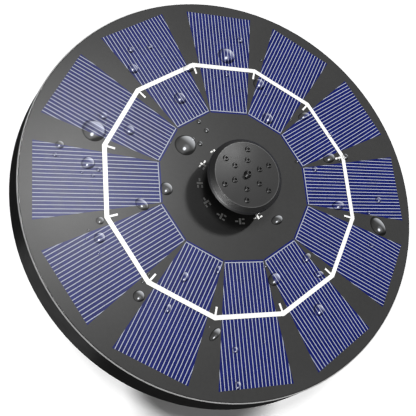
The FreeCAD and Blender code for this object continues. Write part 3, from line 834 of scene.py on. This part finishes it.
def pale_floor():
    """Pale to the camera, nearly black to bounced light, and see-through from below."""
    material = bpy.data.materials.new("floor_pale")
    graph = Graph(material, "OutputMaterial")
    camera_ray = graph.node("LightPath").outputs["Is Camera Ray"]
    pale = graph.node("BsdfDiffuse", {0: grey(0.50)}).outputs[0]
    dim = graph.node("BsdfDiffuse", {0: grey(0.035)}).outputs[0]
    upper = graph.mix_shader(camera_ray, dim, pale)
    below = graph.node("NewGeometry").outputs["Backfacing"]
    gone = graph.node("BsdfTransparent").outputs[0]
    graph.put(graph.output, graph.mix_shader(below, upper, gone))
    return material


corners = ((-1, -1), (1, -1), (1, 1), (-1, 1))
floor = add_mesh(
    "floor", [(x * FLOOR_HALF, y * FLOOR_HALF, Z_FLOOR) for x, y in corners],
    [(0, 1, 2, 3)], pale_floor())
floor.visible_glossy = False
floor.visible_shadow = False

# Brightness seen in reflections, from straight down (0) to straight up (1), ends first
SKY_LEVELS = ((0.0, 0.02), (1.0, 0.030))
SKY_STOPS = ((0.30, 0.05), (0.46, 0.30), (0.54, 0.50), (0.66, 0.20), (0.82, 0.035))


def studio_world():
    """White to the camera, a banded sky in reflections and a dim fill on matt surfaces."""
    world = bpy.data.worlds.new("studio")
    scene.world = world
    world.cycles.sampling_method = "NONE"
    graph = Graph(world, "OutputWorld")
    rays = graph.node("LightPath").outputs
    height = graph.xyz(graph.node("TexCoord").outputs["Generated"])[2]
    ramp = graph.node("ValToRGB", {0: graph.remap(height, low=-1.0, high=1.0)})
    ramp.color_ramp.interpolation = "EASE"
    stops = ramp.color_ramp.elements
    for stop, (position, level) in zip(stops, SKY_LEVELS):
        stop.position = position
        stop.color = (*grey(level), 1)
    for position, level in SKY_STOPS:
        stops.new(position).color = (*grey(level), 1)

    def background(color, strength):
        return graph.node("Background", {0: color, 1: strength}).outputs[0]

    backdrop = background(grey(1.0), strength=1.0)
    sky = background(ramp.outputs[0], strength=1.0)
    fill = background(grey(1.0), strength=0.11)
    unseen = graph.mix_shader(rays["Is Diffuse Ray"], sky, fill)
    graph.put(graph.output, graph.mix_shader(rays["Is Camera Ray"], unseen, backdrop))


studio_world()


# ---------------------------------------------------------------- light helpers
def group(name, members):
    collection = bpy.data.collections.new(name)
    for member in members:
        collection.objects.link(member)
    return collection


def direction(azimuth, elevation):
    """Unit vector from degrees round from +X and degrees above the horizon."""
    around, up = math.radians(azimuth), math.radians(elevation)
    return Vector((math.cos(around) * math.cos(up), math.sin(around) * math.cos(up), math.sin(up)))


def place_light(data, target, offset, receivers, blockers):
    """Put a light at target + offset, aimed at target and linked to its receivers."""
    light = bpy.data.objects.new(data.name, data)
    scene.collection.objects.link(light)
    light.location = target + offset
    light.rotation_mode = "QUATERNION"
    light.rotation_quaternion = (target - (target + offset)).to_track_quat("-Z", "Y")
    light.light_linking.receiver_collection = group(data.name + "_on", receivers)
    if blockers:
        light.light_linking.blocker_collection = blockers
    return light


frame_pieces = list(nodes.values())
solids = frame_pieces + [
    item for item in scene.objects
    if item.type == "MESH" and item is not floor and item not in frame_pieces
]
all_solid = group("all_solid", solids)
hub = Vector((0, 0, Z_FACE))


def area(name, target, toward, distance, strength, size, only, size_y=None,
         diffuse=True, glossy=True, blockers=all_solid):
    """Area light at a distance toward a direction; strength is independent of the distance."""
    data = bpy.data.lights.new(name, "AREA")
    data.shape = "RECTANGLE" if size_y else "DISK"
    data.size = size
    if size_y:
        data.size_y = size_y
    data.energy = math.pi * distance ** 2 * strength
    light = place_light(data, target, toward * distance, only, blockers)
    light.visible_camera = False
    light.visible_diffuse = diffuse
    light.visible_glossy = glossy
    light.visible_transmission = glossy
    return light


def floor_sun(name, toward, energy, angle=None, blockers=None):
    """Sun for the floor alone. angle is its spread in degrees; without one it casts no shadow."""
    data = bpy.data.lights.new(name, "SUN")
    data.energy = energy
    if angle is None:
        data.use_shadow = False
    else:
        data.angle = math.radians(angle)
    place_light(data, hub, toward, [floor], blockers)


# ---------------------------------------------------------------- lights
area("key", hub, Vector((-0.306, 0.585, 0.751)).normalized(), distance=4.0, strength=4.45,
     size=0.14, size_y=0.42, glossy=False, only=solids)

# The object stands on a pale ground with soft shadows
hanging = [nodes[name] for name in (
    "strainer_cap", "pump_housing", "volute_cover", "potting_plug")]
floor_sun("floor_top", direction(214, 66), energy=1.7, angle=8,
          blockers=group("floor_blockers", [nodes["float_base"]] + hanging))
floor_sun("floor_low", direction(163, 25.6), energy=9.96, angle=6.5,
          blockers=group("floor_low_blockers", hanging))
floor_sun("floor_fill", Vector((0, 0, 1)), energy=0.50)

# Card close above the -Y side of the face: its broad sheen
face_like = [nodes[name] for name in (
    "face_resin", "solar_cells", "tab_ribbon", "interconnect_tabs", "diode_pads",
    "float_shell")] + [fingers]
sheen = area(
    "sheen_card", Vector((-0.0129, -0.0626, Z_FACE)), Vector((-0.279, 0.149, 0.949)),
    distance=0.31, strength=1.90, size=0.09, diffuse=False, only=face_like)
sheen.data.cycles.use_multiple_importance_sampling = False

# Half-clear round flag in the way of the sheen card: dims the sheen beside the spray head
FLAG_HEIGHT = 0.0125
FLAG_RADIUS = 0.0133
FLAG_SEGMENTS = 64


def sheen_flag():
    gauze = bpy.data.materials.new("flag_gauze")
    graph = Graph(gauze, "OutputMaterial")
    graph.put(graph.output, graph.transparent(grey(0.50)))
    shaded = Vector((0.00398, -0.0076, Z_FACE))
    to_card = sheen.location - shaded
    centre = shaded + to_card * (FLAG_HEIGHT / to_card.z)
    angles = [2 * math.pi * i / FLAG_SEGMENTS for i in range(FLAG_SEGMENTS)]
    points = [
        (centre.x + FLAG_RADIUS * math.cos(a), centre.y + FLAG_RADIUS * math.sin(a), centre.z)
        for a in angles
    ]
    added = add_mesh("flag", points, [list(range(FLAG_SEGMENTS))], gauze)
    added.visible_camera = False
    added.visible_diffuse = False
    added.visible_glossy = False
    added.visible_transmission = False
    return added


flag = sheen_flag()
sheen.light_linking.blocker_collection = group("sheen_blockers", solids + [flag])

shell = nodes["float_shell"]
cap = nodes["spray_cap"]

# Low light from +X, -Y: lights the lip, whose pale colour is a painted highlight
area("lip_light", hub, direction(-62, 5), distance=0.9, strength=1.22,
     size=0.10, size_y=0.10, glossy=False, only=[shell])

# Reflection low on the shell's flared wall
area("wall_card", Vector((0.023, -0.077, 0.038)), Vector((0.078, -0.473, -0.876)),
     distance=0.30, strength=0.078, size=0.22, diffuse=False, only=[shell])

# Tall card for the nozzle's flank, a low one for the steep sides of its jets and a small
# one for the sheen across its top
nozzle = Vector((0.0055, -0.0125, Z_FACE + 0.009))
area("flank_card", nozzle, direction(-68, 7), distance=0.25, strength=13.8,
     size=0.075, size_y=0.70, diffuse=False, only=[cap], blockers=group("cap_only", [cap]))
area("jet_card", nozzle, direction(-52, -25), distance=0.25, strength=1.25,
     size=0.060, diffuse=False, only=[cap], blockers=group("no_blockers", [flag]))
area("top_card", Vector((-0.0105, -0.0058, Z_FACE + 0.011)), Vector((-0.257, 0.439, 0.861)),
     distance=0.045, strength=0.9, size=0.012, diffuse=False, only=[cap])

# Low soft boxes all round for the dark walls, and a bounce from below for the underside
lower = [nodes[name] for name in (
    "float_base", "strainer_cap", "pump_housing", "volute_cover", "pump_screws",
    "float_screws", "cover_seal", "impeller", "potting_plug", "wire_grommet",
    "nozzle_stem", "head_base", "stem_seal")] + [sponge]
body_middle = Vector((0, 0, 0.036))
SIDE_BOXES = ((-78, 0.9), (12, 0.8), (100, 1.0), (190, 0.9))  # azimuth, share of strength
for i, (azimuth, share) in enumerate(SIDE_BOXES):
    area("side_box_%d" % i, body_middle, direction(azimuth, 24), distance=0.9,
         strength=0.26 * share, size=0.42, size_y=0.20, diffuse=False, only=[shell] + lower)
for i, azimuth in enumerate((-60, 60, 180)):
    area("bounce_%d" % i, body_middle, direction(azimuth, -38), distance=0.9,
         strength=1.5, size=0.50, only=lower)

# ---------------------------------------------------------------- camera
CAMERA_AT = Vector((0.0390273, -0.0904068, Z_FACE + 0.1766486))
CAMERA_RIGHT = Vector((0.324795, 0.888791, 0.323356))
CAMERA_UP = Vector((-0.930531, 0.239146, 0.277346))
CAMERA_BACK = Vector((0.169173, -0.390974, 0.904721))

lens = bpy.data.cameras.new("camera")
lens.sensor_width = 36.0
lens.lens = 46.676
lens.clip_start = 0.01
lens.clip_end = 20.0
camera = bpy.data.objects.new("camera", lens)
scene.collection.objects.link(camera)
turn = Matrix((CAMERA_RIGHT, CAMERA_UP, CAMERA_BACK)).transposed()
camera.matrix_world = Matrix.Translation(CAMERA_AT) @ turn.to_4x4()
scene.camera = camera

# ---------------------------------------------------------------- render settings
scene.view_settings.view_transform = "Standard"
scene.view_settings.look = "None"
scene.view_settings.exposure = 0.0
scene.view_settings.gamma = 1.0
scene.cycles.use_denoising = True
scene.cycles.pixel_filter_type = "BLACKMAN_HARRIS"
scene.cycles.filter_width = 1.35
scene.cycles.caustics_reflective = False
scene.cycles.caustics_refractive = False
